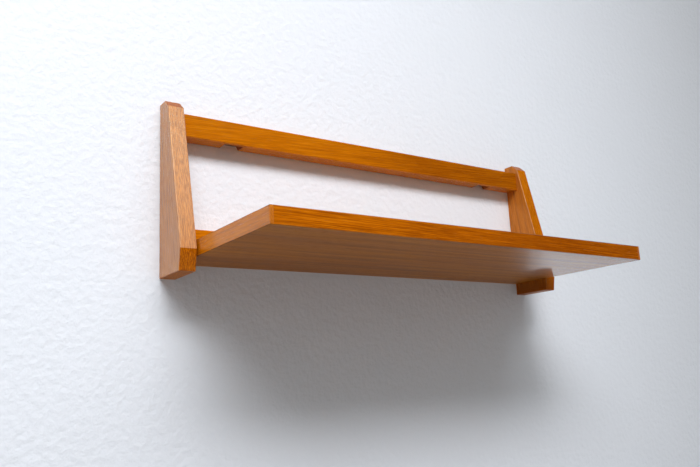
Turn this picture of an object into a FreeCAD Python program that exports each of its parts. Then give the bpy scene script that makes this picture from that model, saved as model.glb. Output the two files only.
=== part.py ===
import FreeCAD, Part
import os

import Sketcher

# Wall shelf in lacquered oak.
# Two tapered uprights stand against the wall and are tied by an upper and a lower rail.
# A veneered and lipped board stands out from between their feet, tucked under the lower rail.
# The shelf hangs on two keyhole plates, let in flush at the back of the upper rail.
#
# Frame: X runs along the wall, Y into the wall, Z up. The wall's face is the plane Y = 0.
# The origin is on the wall's face, midway between the entry holes of the two keyhole plates.

SIZES = (
    # Uprights
    ("inner_width", 760.0, "clear width between the uprights"),
    ("upright_thickness", 26.0, "thickness of an upright along the wall"),
    ("upright_height", 281.0, "height of an upright"),
    ("upright_top_depth", 21.0, "depth of the flat top of an upright"),
    ("upright_shoulder_depth", 35.0, "depth where the bevel of the top meets the slanted front"),
    ("upright_shoulder_drop", 12.5, "height of the bevel of the top"),
    ("upright_knee_depth", 84.5, "greatest depth of an upright"),
    ("upright_knee_height", 33.0, "height of the greatest depth above the foot"),
    ("upright_foot_depth", 79.0, "depth of the flat foot of an upright"),
    ("upright_arris", 1.2, "rounding of the long edges round both faces of an upright"),
    # Rails
    ("rail_thickness", 28.0, "thickness of both rails, square to the wall"),
    ("upper_rail_height", 37.5, "height of the upper rail's section"),
    ("upper_rail_drop", 19.5, "top of the upper rail below the top of the uprights"),
    ("lower_rail_height", 27.0, "height of the lower rail's section"),
    ("rail_arris", 1.0, "rounding of the long edges of the rails"),
    # Board
    ("board_end_gap", 2.0, "gap between an end of the board and an upright"),
    ("board_depth", 302.0, "depth of the board from the wall"),
    ("board_thickness", 25.0, "thickness of the board with its veneers"),
    ("board_rise", 23.0, "underside of the board above the foot"),
    ("veneer_thickness", 0.7, "thickness of a face veneer"),
    ("veneer_arris", 0.4, "bevel of the outer edges of a veneer"),
    ("lipping_width", 5.0, "width of the solid lippings"),
    ("board_corner", 1.0, "rounding of the upright corners of the board"),
    # Hanging points
    ("hanger_inset", 92.0, "distance of a hanging point from the inner face of its upright"),
    ("notch_radius", 17.5, "radius of the round notches under the upper rail"),
    ("notch_drop", 5.0, "centre of the notches below the underside of the rail"),
    ("notch_depth", 21.0, "depth of the notches from the back of the rail"),
    ("relief_radius", 9.5, "radius of the bore that clears the head of a wall screw"),
    ("relief_depth", 9.0, "depth of that bore from the back of the rail"),
    ("plate_width", 60.0, "width of a keyhole plate"),
    ("plate_height", 26.0, "height of a keyhole plate"),
    ("plate_thickness", 2.0, "thickness of a keyhole plate, and how far the rails are set in"),
    ("plate_rise", 7.0, "lower edge of a keyhole plate above the underside of the rail"),
    ("plate_corner", 3.0, "rounding of the corners of a keyhole plate"),
    ("entry_radius", 4.5, "radius of the entry hole, for a screw head of 8 mm"),
    ("entry_margin", 2.0, "metal left below the entry hole"),
    ("slot_half_width", 2.3, "half the width of the keyhole slot, for a shank of 4 mm"),
    ("slot_rise", 9.5, "end of the slot above the centre of the entry hole"),
    # Screws of the keyhole plates
    ("screw_pitch", 46.0, "distance between the two screws of a plate"),
    ("screw_radius", 1.75, "radius of the shank"),
    ("screw_length", 16.0, "length of a screw over all"),
    ("screw_head_radius", 3.5, "radius of the countersunk head"),
    ("screw_fit", 0.15, "radial clearance of a screw in its plate"),
    ("pilot_fit", 0.05, "radial clearance of a screw in its pilot bore"),
    ("pilot_end_fit", 0.5, "clearance past the end of a screw"),
    ("driver_slot_width", 0.9, "width of the slot in a screw head"),
    ("driver_slot_depth", 0.8, "depth of the slot in a screw head"),
    # Dowels
    ("dowel_radius", 4.0, "radius of every dowel"),
    ("dowel_fit", 0.05, "radial clearance of a dowel in its bore"),
    ("dowel_end_fit", 0.5, "clearance past the end of a dowel"),
    ("dowel_in_upright", 13.0, "length of a dowel inside an upright"),
    ("dowel_in_end", 17.0, "length of a dowel inside the end of a rail or of the board"),
    ("upper_dowel_pitch", 18.0, "distance between the dowels in an end of the upper rail"),
    ("board_dowel_start", 14.0, "first board dowel in front of the wall"),
    ("board_dowel_pitch", 42.0, "distance between the dowels in an end of the board"),
    ("cross_dowel_inset", 190.0, "dowel between board and lower rail, from the nearer upright"),
    ("cross_dowel_in_rail", 14.0, "length of such a dowel inside the lower rail"),
    ("cross_dowel_in_board", 12.0, "length of such a dowel inside the board"),
)
UPPER_DOWELS = 2
BOARD_DOWELS = 2
CROSS_DOWELS = 2
PLATE_SCREWS = 2
LEFT, RIGHT = -1, 1

# Levels and planes that several pieces share
UPPER_RISE = "(Sizes.upright_height - Sizes.upper_rail_drop - Sizes.upper_rail_height)"
ENTRY_RISE = "(Sizes.plate_rise + Sizes.entry_margin + Sizes.entry_radius)"
FOOT = f"-({UPPER_RISE} + {ENTRY_RISE})"
UPPER_RAIL_FOOT = f"-{ENTRY_RISE}"
BOARD_FOOT = f"{FOOT} + Sizes.board_rise"
BOARD_TOP = f"{BOARD_FOOT} + Sizes.board_thickness"
BOARD_MIDDLE = f"{BOARD_FOOT} + Sizes.board_thickness / 2"
CORE_THICKNESS = "(Sizes.board_thickness - 2 * Sizes.veneer_thickness)"
BOARD_WIDTH = "(Sizes.inner_width - 2 * Sizes.board_end_gap)"
RAIL_BACK = "-Sizes.plate_thickness"
RAIL_FRONT = "-(Sizes.plate_thickness + Sizes.rail_thickness)"
RAIL_MIDDLE = "-(Sizes.plate_thickness + Sizes.rail_thickness / 2)"
HANGING_POINT = "(Sizes.inner_width / 2 - Sizes.hanger_inset)"
PLATE_SCREW_RISE = "(Sizes.plate_rise + Sizes.plate_height / 2)"
BORE_RADIUS = "Sizes.dowel_radius + Sizes.dowel_fit"
UPRIGHT_BORE_DEPTH = "Sizes.dowel_in_upright + Sizes.dowel_end_fit"
END_BORE_DEPTH = "Sizes.dowel_in_end + Sizes.dowel_end_fit"
CROSS_DOWEL_SPAN = "(Sizes.inner_width - 2 * Sizes.cross_dowel_inset)"

doc = FreeCAD.newDocument("WallShelf")
sheet = doc.addObject("Spreadsheet::Sheet", "Sizes")
for row, (alias, size, meaning) in enumerate(SIZES, start=1):
    sheet.set(f"A{row}", meaning)
    sheet.set(f"B{row}", str(size))
    sheet.setAlias(f"B{row}", alias)
doc.recompute()
bodies = []


def new_body(label, x="0", y="0", z="0"):
    """A sub-part with its own name, placed in the shelf's frame."""
    body = doc.addObject("PartDesign::Body", label)
    body.Label = label
    body.AllowCompound = True
    for axis, place in (("x", x), ("y", y), ("z", z)):
        body.setExpression(f".Placement.Base.{axis}", place)
    bodies.append(body)
    return body


def origin_item(body, role):
    """One of the planes or axes of the body's own origin."""
    return next(item for item in body.Origin.OriginFeatures if item.Role == role)


def new_sketch(body, name, role, offset="0"):
    """A sketch on one of the body's origin planes, moved along the plane's normal."""
    sketch = body.newObject("Sketcher::SketchObject", f"{body.Name}_{name}")
    sketch.AttachmentSupport = (origin_item(body, role), [""])
    sketch.MapMode = "FlatFace"
    sketch.setExpression(".AttachmentOffset.Base.z", offset)
    return sketch


def fix(sketch, kind, place, *where):
    """A constraint whose value is an expression on the sheet."""
    start = float(sketch.evalExpression(place))
    index = sketch.addConstraint(Sketcher.Constraint(kind, *where, start))
    sketch.setExpression(f"Constraints[{index}]", place)


def fix_point(sketch, geometry, end, x, y):
    """Both coordinates of a point, measured from the sketch's origin."""
    fix(sketch, "DistanceX", x, -1, 1, geometry, end)
    fix(sketch, "DistanceY", y, -1, 1, geometry, end)


def polygon(sketch, corners):
    """A closed outline of straight lines through the given corners."""
    points = [
        FreeCAD.Vector(sketch.evalExpression(x), sketch.evalExpression(y), 0) for x, y in corners
    ]
    count = len(points)
    for step in range(count):
        sketch.addGeometry(Part.LineSegment(points[step], points[(step + 1) % count]), False)
    for step in range(count):
        sketch.addConstraint(Sketcher.Constraint("Coincident", step, 2, (step + 1) % count, 1))
    for step, (x, y) in enumerate(corners):
        fix_point(sketch, step, 1, x, y)


def rectangle(sketch, left, bottom, right, top):
    """An upright rectangle between two corners."""
    polygon(sketch, ((left, bottom), (right, bottom), (right, top), (left, top)))


def circles(sketch, centres, radius):
    """Circles of one radius about the given centres."""
    for x, y in centres:
        centre = FreeCAD.Vector(sketch.evalExpression(x), sketch.evalExpression(y), 0)
        normal = FreeCAD.Vector(0, 0, 1)
        circle = Part.Circle(centre, normal, float(sketch.evalExpression(radius)))
        geometry = sketch.addGeometry(circle, False)
        fix(sketch, "Radius", radius, geometry)
        fix_point(sketch, geometry, 3, x, y)


def pad(body, sketch, length, reversed_=False, both_ways=False):
    """The first solid of a sub-part."""
    feature = body.newObject("PartDesign::Pad", f"{sketch.Name}_pad")
    feature.Profile = sketch
    feature.setExpression("Length", length)
    feature.Reversed = reversed_
    if both_ways:
        feature.SideType = "Symmetric"
    doc.recompute()
    return feature


def pocket(body, sketch, depth=None, along_normal=False):
    """A cut of a stated depth, or right through. It raises an error if it cuts nothing."""
    volume = body.Shape.Volume
    feature = body.newObject("PartDesign::Pocket", f"{sketch.Name}_pocket")
    feature.Profile = sketch
    feature.Reversed = along_normal
    if depth is None:
        feature.Type = "ThroughAll"
    else:
        feature.setExpression("Length", depth)
    doc.recompute()
    if not body.Shape.Volume < volume:
        raise RuntimeError(f"{feature.Name} cuts nothing")
    return feature


def soften(body, base, edges, radius):
    """Rounded edges on the latest solid of a sub-part."""
    feature = body.newObject("PartDesign::Fillet", f"{base.Name}_arris")
    feature.Base = (base, edges)
    feature.setExpression("Radius", radius)
    doc.recompute()
    return feature


def mirror(body, features):
    """Repeats the features on the other side of the shelf's middle plane."""
    feature = body.newObject("PartDesign::Mirrored", f"{body.Name}_mirror")
    feature.Originals = features
    feature.MirrorPlane = (origin_item(body, "YZ_Plane"), [""])
    body.Tip = feature
    doc.recompute()
    return feature


def repeat(body, features, role, length, count):
    """Evenly spaced copies along one of the body's axes."""
    feature = body.newObject("PartDesign::LinearPattern", f"{body.Name}_row")
    feature.Originals = features
    feature.Direction = (origin_item(body, role), [""])
    feature.setExpression("Length", length)
    feature.Occurrences = count
    body.Tip = feature
    doc.recompute()
    return feature


def edges_where(feature, test):
    """Names of the edges of a solid that pass a test on the edge."""
    edges = feature.Shape.Edges
    return [f"Edge{number}" for number, edge in enumerate(edges, start=1) if test(edge)]


def runs_along(edge, direction):
    """Is the edge a straight line parallel to the direction?"""
    if not isinstance(edge.Curve, Part.Line):
        return False
    return edge.Curve.Direction.cross(direction).Length < Part.Precision.confusion()


def spread(pitch, count):
    """Places of a row of items about zero."""
    return [f"({2 * step - count + 1} / 2) * {pitch}" for step in range(count)]


def board_dowel_places():
    """Distances of the board's end dowels in front of the wall, as Y."""
    return [
        f"-(Sizes.board_dowel_start + {step} * Sizes.board_dowel_pitch)"
        for step in range(BOARD_DOWELS)
    ]


def make_upright(label, side):
    """A tapered upright with the blind bores for the rails and the board."""
    body = new_body(label, x=f"{side} * Sizes.inner_width / 2", z=FOOT)
    outline = new_sketch(body, "outline", "YZ_Plane")
    polygon(
        outline,
        (
            ("0", "0"),
            ("-Sizes.upright_foot_depth", "0"),
            ("-Sizes.upright_knee_depth", "Sizes.upright_knee_height"),
            (
                "-Sizes.upright_shoulder_depth",
                "Sizes.upright_height - Sizes.upright_shoulder_drop",
            ),
            ("-Sizes.upright_top_depth", "Sizes.upright_height"),
            ("0", "Sizes.upright_height"),
        ),
    )
    plank = pad(body, outline, "Sizes.upright_thickness", reversed_=side == LEFT)
    along_x = FreeCAD.Vector(1, 0, 0)
    rims = edges_where(plank, lambda edge: not runs_along(edge, along_x))
    soften(body, plank, rims, "Sizes.upright_arris")
    upper_middle = f"{UPPER_RISE} + Sizes.upper_rail_height / 2"
    lower_middle = "Sizes.board_rise + Sizes.board_thickness + Sizes.lower_rail_height / 2"
    places = [
        (RAIL_MIDDLE, f"{upper_middle} + {place}")
        for place in spread("Sizes.upper_dowel_pitch", UPPER_DOWELS)
    ]
    places.append((RAIL_MIDDLE, lower_middle))
    places += [
        (place, "Sizes.board_rise + Sizes.board_thickness / 2") for place in board_dowel_places()
    ]
    bores = new_sketch(body, "bores", "YZ_Plane")
    circles(bores, places, BORE_RADIUS)
    pocket(body, bores, UPRIGHT_BORE_DEPTH, along_normal=side == RIGHT)


def make_rail(label, height, foot, dowel_places):
    """A rail between the uprights. Returns the body and the bores in its left end."""
    body = new_body(label, z=foot)
    section = new_sketch(body, "section", "YZ_Plane")
    rectangle(section, RAIL_FRONT, "0", RAIL_BACK, height)
    bar = pad(body, section, "Sizes.inner_width", both_ways=True)
    along_x = FreeCAD.Vector(1, 0, 0)
    soften(body, bar, edges_where(bar, lambda edge: runs_along(edge, along_x)), "Sizes.rail_arris")
    bores = new_sketch(body, "bores", "YZ_Plane", offset="-Sizes.inner_width / 2")
    circles(bores, [(RAIL_MIDDLE, place) for place in dowel_places], BORE_RADIUS)
    return body, pocket(body, bores, END_BORE_DEPTH, along_normal=True)


def make_upper_rail():
    """The upper rail, with the round notches and the bores behind the keyhole plates."""
    places = [
        f"Sizes.upper_rail_height / 2 + {place}"
        for place in spread("Sizes.upper_dowel_pitch", UPPER_DOWELS)
    ]
    body, bores = make_rail("upper_rail", "Sizes.upper_rail_height", UPPER_RAIL_FOOT, places)
    hanging_point = f"-{HANGING_POINT}"
    slot_end = f"{ENTRY_RISE} + Sizes.slot_rise"
    back = "Sizes.plate_thickness"

    notch = new_sketch(body, "notch", "XZ_Plane", offset=back)
    circles(notch, [(hanging_point, "-Sizes.notch_drop")], "Sizes.notch_radius")
    notch_cut = pocket(body, notch, "Sizes.notch_depth", along_normal=True)

    relief = new_sketch(body, "relief", "XZ_Plane", offset=back)
    relief_middle = f"({ENTRY_RISE} + {slot_end}) / 2"
    circles(relief, [(hanging_point, relief_middle)], "Sizes.relief_radius")
    relief_cut = pocket(body, relief, "Sizes.relief_depth", along_normal=True)

    pilots = new_sketch(body, "pilots", "XZ_Plane", offset=back)
    screw_places = [
        (f"{hanging_point} + {place}", PLATE_SCREW_RISE)
        for place in spread("Sizes.screw_pitch", PLATE_SCREWS)
    ]
    circles(pilots, screw_places, "Sizes.screw_radius + Sizes.pilot_fit")
    pilot_depth = "Sizes.screw_length - Sizes.plate_thickness + Sizes.pilot_end_fit"
    pilot_cut = pocket(body, pilots, pilot_depth, along_normal=True)
    mirror(body, [bores, notch_cut, relief_cut, pilot_cut])


def make_lower_rail():
    """The lower rail, which lies on the board and holds its back edge down."""
    places = ["Sizes.lower_rail_height / 2"]
    body, bores = make_rail("lower_rail", "Sizes.lower_rail_height", BOARD_TOP, places)
    mirror(body, [bores])
    holes = new_sketch(body, "cross_bores", "XY_Plane")
    circles(holes, cross_dowel_places(), BORE_RADIUS)
    pocket(body, holes, "Sizes.cross_dowel_in_rail + Sizes.dowel_end_fit", along_normal=True)


def cross_dowel_places():
    """Places in plan of the dowels between the board and the lower rail."""
    pitch = f"{CROSS_DOWEL_SPAN} / {CROSS_DOWELS - 1}"
    return [(place, RAIL_MIDDLE) for place in spread(pitch, CROSS_DOWELS)]


def make_core():
    """The board's core, bored for the end dowels and the dowels of the lower rail."""
    body = new_body("shelf_core", z=f"{BOARD_FOOT} + Sizes.veneer_thickness")
    half = f"({BOARD_WIDTH} / 2 - Sizes.lipping_width)"
    front = "-(Sizes.board_depth - Sizes.lipping_width)"
    plan = new_sketch(body, "plan", "XY_Plane")
    rectangle(plan, f"-{half}", front, half, "0")
    pad(body, plan, CORE_THICKNESS)
    ends = new_sketch(body, "end_bores", "YZ_Plane", offset=f"-{half}")
    middle = f"{CORE_THICKNESS} / 2"
    circles(ends, [(place, middle) for place in board_dowel_places()], BORE_RADIUS)
    end_cut = pocket(body, ends, f"{END_BORE_DEPTH} - Sizes.lipping_width", along_normal=True)
    mirror(body, [end_cut])
    holes = new_sketch(body, "cross_bores", "XY_Plane", offset=CORE_THICKNESS)
    circles(holes, cross_dowel_places(), BORE_RADIUS)
    depth = "Sizes.cross_dowel_in_board - Sizes.veneer_thickness + Sizes.dowel_end_fit"
    pocket(body, holes, depth)


def make_front_lipping():
    """The solid oak strip along the front of the core, between the end lippings."""
    body = new_body("front_lipping", z=f"{BOARD_FOOT} + Sizes.veneer_thickness")
    half = f"({BOARD_WIDTH} / 2 - Sizes.lipping_width)"
    plan = new_sketch(body, "plan", "XY_Plane")
    back = "-(Sizes.board_depth - Sizes.lipping_width)"
    rectangle(plan, f"-{half}", "-Sizes.board_depth", half, back)
    pad(body, plan, CORE_THICKNESS)


def make_end_lipping(label, side):
    """The solid oak strip over an end of the board, with the holes for the end dowels."""
    outer_face = f"{side} * {BOARD_WIDTH} / 2"
    body = new_body(label, x=outer_face, z=f"{BOARD_FOOT} + Sizes.veneer_thickness")
    plan = new_sketch(body, "plan", "XY_Plane")
    rectangle(plan, "0", "-Sizes.board_depth", f"{-side} * Sizes.lipping_width", "0")
    strip = pad(body, plan, CORE_THICKNESS)
    corner = edges_where(strip, lambda edge: is_board_corner(edge, "Sizes.board_depth"))
    soften(body, strip, corner, "Sizes.board_corner")
    holes = new_sketch(body, "bores", "YZ_Plane")
    middle = f"{CORE_THICKNESS} / 2"
    circles(holes, [(place, middle) for place in board_dowel_places()], BORE_RADIUS)
    pocket(body, holes, along_normal=side == LEFT)


def is_board_corner(edge, depth):
    """Is the edge upright, at the board's front and at x = 0 of an end strip?"""
    start = edge.Vertexes[0].Point
    front = -float(sheet.evalExpression(depth))
    near = Part.Precision.confusion()
    upright = runs_along(edge, FreeCAD.Vector(0, 0, 1))
    return upright and abs(start.x) < near and abs(start.y - front) < near


def make_veneer(label, foot, outer_is_top):
    """A face veneer over the core and the lippings, with bevelled outer edges."""
    body = new_body(label, z=foot)
    plan = new_sketch(body, "plan", "XY_Plane")
    half = f"{BOARD_WIDTH} / 2"
    rectangle(plan, f"-{half}", "-Sizes.board_depth", half, "0")
    leaf = pad(body, plan, "Sizes.veneer_thickness")
    front = -float(sheet.evalExpression("Sizes.board_depth"))
    near = Part.Precision.confusion()

    def is_corner(edge):
        upright = runs_along(edge, FreeCAD.Vector(0, 0, 1))
        return upright and abs(edge.Vertexes[0].Point.y - front) < near

    corners = soften(body, leaf, edges_where(leaf, is_corner), "Sizes.board_corner")
    outer = float(sheet.evalExpression("Sizes.veneer_thickness")) if outer_is_top else 0

    def is_outer(edge):
        box = edge.BoundBox
        flat = abs(box.ZMin - outer) < near and abs(box.ZMax - outer) < near
        return flat and box.YMin < -near

    bevel = body.newObject("PartDesign::Chamfer", f"{body.Name}_bevel")
    bevel.Base = (corners, edges_where(corners, is_outer))
    bevel.setExpression("Size", "Sizes.veneer_arris")
    doc.recompute()
    return body


def make_top_veneer():
    """The upper veneer, pierced where the dowels of the lower rail pass."""
    body = make_veneer("top_veneer", f"{BOARD_TOP} - Sizes.veneer_thickness", True)
    holes = new_sketch(body, "cross_bores", "XY_Plane")
    circles(holes, cross_dowel_places(), BORE_RADIUS)
    pocket(body, holes, along_normal=True)


def revolve(body, sketch, axis):
    """A solid of revolution about the sketch's own H_Axis or V_Axis."""
    feature = body.newObject("PartDesign::Revolution", f"{sketch.Name}_turned")
    feature.Profile = sketch
    feature.ReferenceAxis = (sketch, [axis])
    feature.Angle = 360
    doc.recompute()
    return feature


def make_end_dowels(label, side, gap, y, z, count=1, role="Z_Axis", pitch="0"):
    """Dowels between an upright and what stands beside it, across a gap."""
    inner_face = "Sizes.inner_width / 2"
    if side == LEFT:
        start = f"-({inner_face} + Sizes.dowel_in_upright)"
    else:
        start = f"{inner_face} - {gap} - Sizes.dowel_in_end"
    body = new_body(label, x=start, y=y, z=z)
    section = new_sketch(body, "section", "YZ_Plane")
    circles(section, [("0", "0")], "Sizes.dowel_radius")
    dowel = pad(body, section, f"Sizes.dowel_in_upright + {gap} + Sizes.dowel_in_end")
    if count > 1:
        repeat(body, [dowel], role, f"{count - 1} * {pitch}", count)


def make_cross_dowels():
    """The dowels that tie the board to the underside of the lower rail."""
    first_x, y = cross_dowel_places()[0]
    body = new_body("cross_dowels", x=first_x, y=y, z=f"{BOARD_TOP} - Sizes.cross_dowel_in_board")
    section = new_sketch(body, "section", "XY_Plane")
    circles(section, [("0", "0")], "Sizes.dowel_radius")
    dowel = pad(body, section, "Sizes.cross_dowel_in_board + Sizes.cross_dowel_in_rail")
    repeat(body, [dowel], "X_Axis", CROSS_DOWEL_SPAN, CROSS_DOWELS)


def keyhole(sketch):
    """A round entry hole about the origin, with a slot that rises from it."""
    entry = float(sketch.evalExpression("Sizes.entry_radius"))
    half = float(sketch.evalExpression("Sizes.slot_half_width"))
    rise = float(sketch.evalExpression("Sizes.slot_rise"))
    shoulder = (entry**2 - half**2) ** 0.5
    low_left, low_right = FreeCAD.Vector(-half, shoulder, 0), FreeCAD.Vector(half, shoulder, 0)
    top_left, top_right = FreeCAD.Vector(-half, rise, 0), FreeCAD.Vector(half, rise, 0)
    bottom, crown = FreeCAD.Vector(0, -entry, 0), FreeCAD.Vector(0, rise + half, 0)
    hole = sketch.addGeometry(Part.Arc(low_left, bottom, low_right), False)
    right_side = sketch.addGeometry(Part.LineSegment(low_right, top_right), False)
    top = sketch.addGeometry(Part.Arc(top_right, crown, top_left), False)
    left_side = sketch.addGeometry(Part.LineSegment(top_left, low_left), False)
    chain = (
        (hole, 2, right_side, 1),
        (right_side, 2, top, 1),
        (top, 2, left_side, 1),
        (left_side, 2, hole, 1),
    )
    for joint in chain:
        sketch.addConstraint(Sketcher.Constraint("Coincident", *joint))
    for side in (right_side, left_side):
        sketch.addConstraint(Sketcher.Constraint("Vertical", side))
    for end in (1, 2):
        sketch.addConstraint(Sketcher.Constraint("Horizontal", top, 3, top, end))
    fix(sketch, "Radius", "Sizes.entry_radius", hole)
    fix(sketch, "Radius", "Sizes.slot_half_width", top)
    fix_point(sketch, hole, 3, "0", "0")
    fix_point(sketch, top, 3, "0", "Sizes.slot_rise")


def make_plate(label, side):
    """A keyhole plate, flush with the wall side of the uprights."""
    body = new_body(label, x=f"{side} * {HANGING_POINT}")
    lower_edge = "-(Sizes.entry_radius + Sizes.entry_margin)"
    face = new_sketch(body, "face", "XZ_Plane")
    half = "Sizes.plate_width / 2"
    rectangle(face, f"-{half}", lower_edge, half, f"{lower_edge} + Sizes.plate_height")
    blank = pad(body, face, "Sizes.plate_thickness")
    along_y = FreeCAD.Vector(0, 1, 0)
    corners = edges_where(blank, lambda edge: runs_along(edge, along_y))
    soften(body, blank, corners, "Sizes.plate_corner")
    opening = new_sketch(body, "keyhole", "XZ_Plane")
    keyhole(opening)
    pocket(body, opening, along_normal=True)
    holes = new_sketch(body, "screw_holes", "XZ_Plane")
    screw_level = f"{lower_edge} + Sizes.plate_height / 2"
    places = [(place, screw_level) for place in spread("Sizes.screw_pitch", PLATE_SCREWS)]
    hole_radius = "Sizes.screw_radius + Sizes.screw_fit"
    circles(holes, places, hole_radius)
    drilled = pocket(body, holes, along_normal=True)
    radius = float(sheet.evalExpression(hole_radius))
    near = Part.Precision.confusion()

    def is_rim(edge):
        round_edge = isinstance(edge.Curve, Part.Circle) and abs(edge.Curve.Radius - radius) < near
        return round_edge and abs(edge.BoundBox.YMax) < near

    countersink = body.newObject("PartDesign::Chamfer", f"{body.Name}_countersink")
    countersink.Base = (drilled, edges_where(drilled, is_rim))
    countersink.setExpression("Size", "Sizes.screw_head_radius - Sizes.screw_radius")
    doc.recompute()


def make_plate_screws(label, side):
    """The two countersunk screws of a keyhole plate, with slotted heads."""
    first = f"{side} * {HANGING_POINT} - Sizes.screw_pitch / 2"
    level = "Sizes.plate_height / 2 - Sizes.entry_radius - Sizes.entry_margin"
    body = new_body(label, x=first, z=level)
    profile = new_sketch(body, "profile", "XY_Plane")
    neck = "-(Sizes.screw_head_radius - Sizes.screw_radius)"
    polygon(
        profile,
        (
            ("0", "0"),
            ("Sizes.screw_head_radius", "0"),
            ("Sizes.screw_radius", neck),
            ("Sizes.screw_radius", "-Sizes.screw_length"),
            ("0", "-Sizes.screw_length"),
        ),
    )
    shank = revolve(body, profile, "V_Axis")
    slot = new_sketch(body, "driver_slot", "XZ_Plane")
    reach = "Sizes.screw_head_radius + Sizes.screw_fit"
    half = "Sizes.driver_slot_width / 2"
    rectangle(slot, f"-({reach})", f"-{half}", reach, half)
    cut = pocket(body, slot, "Sizes.driver_slot_depth", along_normal=True)
    length = f"{PLATE_SCREWS - 1} * Sizes.screw_pitch"
    repeat(body, [shank, cut], "X_Axis", length, PLATE_SCREWS)


def make_side(name, side):
    """Everything that belongs to one end of the shelf."""
    make_upright(f"{name}_upright", side)
    make_end_lipping(f"{name}_end_lipping", side)
    upper_level = f"{UPPER_RAIL_FOOT} + Sizes.upper_rail_height / 2"
    lowest = spread("Sizes.upper_dowel_pitch", UPPER_DOWELS)[0]
    make_end_dowels(
        f"{name}_upper_rail_dowels",
        side,
        "0",
        RAIL_MIDDLE,
        f"{upper_level} + {lowest}",
        UPPER_DOWELS,
        "Z_Axis",
        "Sizes.upper_dowel_pitch",
    )
    lower_level = f"{BOARD_TOP} + Sizes.lower_rail_height / 2"
    make_end_dowels(f"{name}_lower_rail_dowel", side, "0", RAIL_MIDDLE, lower_level)
    make_end_dowels(
        f"{name}_board_dowels",
        side,
        "Sizes.board_end_gap",
        board_dowel_places()[-1],
        BOARD_MIDDLE,
        BOARD_DOWELS,
        "Y_Axis",
        "Sizes.board_dowel_pitch",
    )
    make_plate(f"{name}_hanger_plate", side)
    make_plate_screws(f"{name}_hanger_screws", side)


make_upper_rail()
make_lower_rail()
make_core()
make_front_lipping()
make_top_veneer()
make_veneer("bottom_veneer", BOARD_FOOT, False)
make_cross_dowels()
make_side("left", LEFT)
make_side("right", RIGHT)
doc.recompute()

for item in doc.Objects:
    if {"Invalid", "Error"} & set(item.State):
        raise RuntimeError(f"{item.Name} failed: {item.State}")
for body in bodies:
    if body.Shape.isNull() or not body.Shape.isValid():
        raise RuntimeError(f"{body.Label} has no valid shape")

os.makedirs("parts", exist_ok=True)
for body in bodies:
    body.Shape.exportStep(f"parts/{body.Label}.step")
    box = body.Shape.BoundBox
    print(
        f"{body.Label}: {len(body.Shape.Solids)} solid(s), {body.Shape.Volume / 1000:.2f} cm3,",
        f"{box.XLength:.2f} x {box.YLength:.2f} x {box.ZLength:.2f} mm",
    )
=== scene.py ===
import math
from typing import NamedTuple

import bmesh
import bpy
from mathutils import Matrix, Vector

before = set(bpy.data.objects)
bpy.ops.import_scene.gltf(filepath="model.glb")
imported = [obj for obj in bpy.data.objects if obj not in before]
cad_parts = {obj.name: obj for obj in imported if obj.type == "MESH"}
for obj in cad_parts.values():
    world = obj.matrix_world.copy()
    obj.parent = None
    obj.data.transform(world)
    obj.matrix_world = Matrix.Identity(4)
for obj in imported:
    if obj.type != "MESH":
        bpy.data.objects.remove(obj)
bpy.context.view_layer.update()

bl_info = {
    "name": "Oak Wall Shelf",
    "version": (1, 0, 0),
    "blender": (4, 5, 0),
    "location": "View3D > Sidebar > Shelf",
    "description": "Finishes, stage, light and camera for a lacquered oak wall shelf",
    "category": "Object",
}

MM = 0.001

# Lacquer: amber on what is fresh, paler where light has bleached it
LACQUER_IOR = 1.47
AMBER_TINT = (1.0, 0.7, 0.25, 1.0)
PALE_TINT = (1.0, 0.85, 0.6, 1.0)
LACQUER_RELIEF = 0.15 * MM
POLISH_ROUGHNESS = 0.08
# The polish sets in over this span of X less Y times the slant
POLISH_SLANT = 1.12
POLISH_SPAN = (0.355, 0.485)

# Paler arrises, from use and partly a painted highlight. The spans are of the cosine
# between a face's eased and flat normal, of a patchy noise, and of the product of the eased
# normal's X and Y, which marks the arris between an inner face and the front, where a
# highlight is painted.
ARRIS_EASING = 1.2 * MM
PALE_OAK = (0.55, 0.42, 0.28)
ARRIS_SPAN = (0.995, 0.93)
PATCH_SPAN = (0.3, 0.62)
ARRIS_HIGHLIGHT_SPAN = (0.12, 0.4)

# Dark line along a top arris: the span of the eased normal's Z that marks the arris, and the
# line's start along X
DARK_LINE_SPAN = (0.05, 0.3)
DARK_LINE_START = (-0.3, -0.1)

# Where the dark, middle and light tone lie on the scale of tones
TONE_PLACES = (0.1, 0.5, 0.9)

# Lengths of the oak's figure along the grain and across it
WANDER_SIZE = (0.4, 0.06, 0.06)
CLOUD_SIZE = (0.2, 0.033, 0.033)
FIBRE_SIZE = (45 * MM, 1.6 * MM, 1.6 * MM)
FINE_SIZE = (11 * MM, 0.43 * MM, 0.43 * MM)
PORE_SIZE = (13 * MM, 0.65 * MM, 0.65 * MM)
VEIN_SIZE = (60 * MM, 0.9 * MM, 0.9 * MM)
PATCH_SIZE = (25 * MM, 4 * MM, 4 * MM)

# Spans of a noise that turns into pores and veins, and the shares of a year ring over which
# its early wood sets in and fades
PORE_SPAN = (0.62, 0.72)
VEIN_SPAN = (0.56, 0.7)
RING_START = (0.0, 0.05)
RING_FADE = (0.0, 0.55)

# Span of the cosine between a face's normal and the grain over which end grain shows
END_GRAIN_SPAN = (0.25, 0.9)

# Mottle: the size of its specks along X, Y and Z, the span of the noise that makes them, and
# the heights over which they grow stronger
SPECK_SIZE = (2.2 * MM, 2.2 * MM, 2.6 * MM)
SPECK_SPAN = (0.48, 0.64)
MOTTLE_SPAN = (-0.16, 0.02)

# Spans of the upward part of a face's normal over which an effect sets in
LOOKS_DOWN = (-0.6, -0.95)
LEANS_OVER = (-0.03, -0.12)
ABOVE_LOOKING_DOWN = (-0.6, -0.4)
NOT_LEANING_OVER = (-0.12, -0.03)
BELOW_LOOKING_UP = (0.5, 0.3)
SLOPES_BACK = (0.1, 0.17)

# Heights over which an upright turns into its foot
FOOT_SPAN = (-0.19, -0.24)

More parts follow.
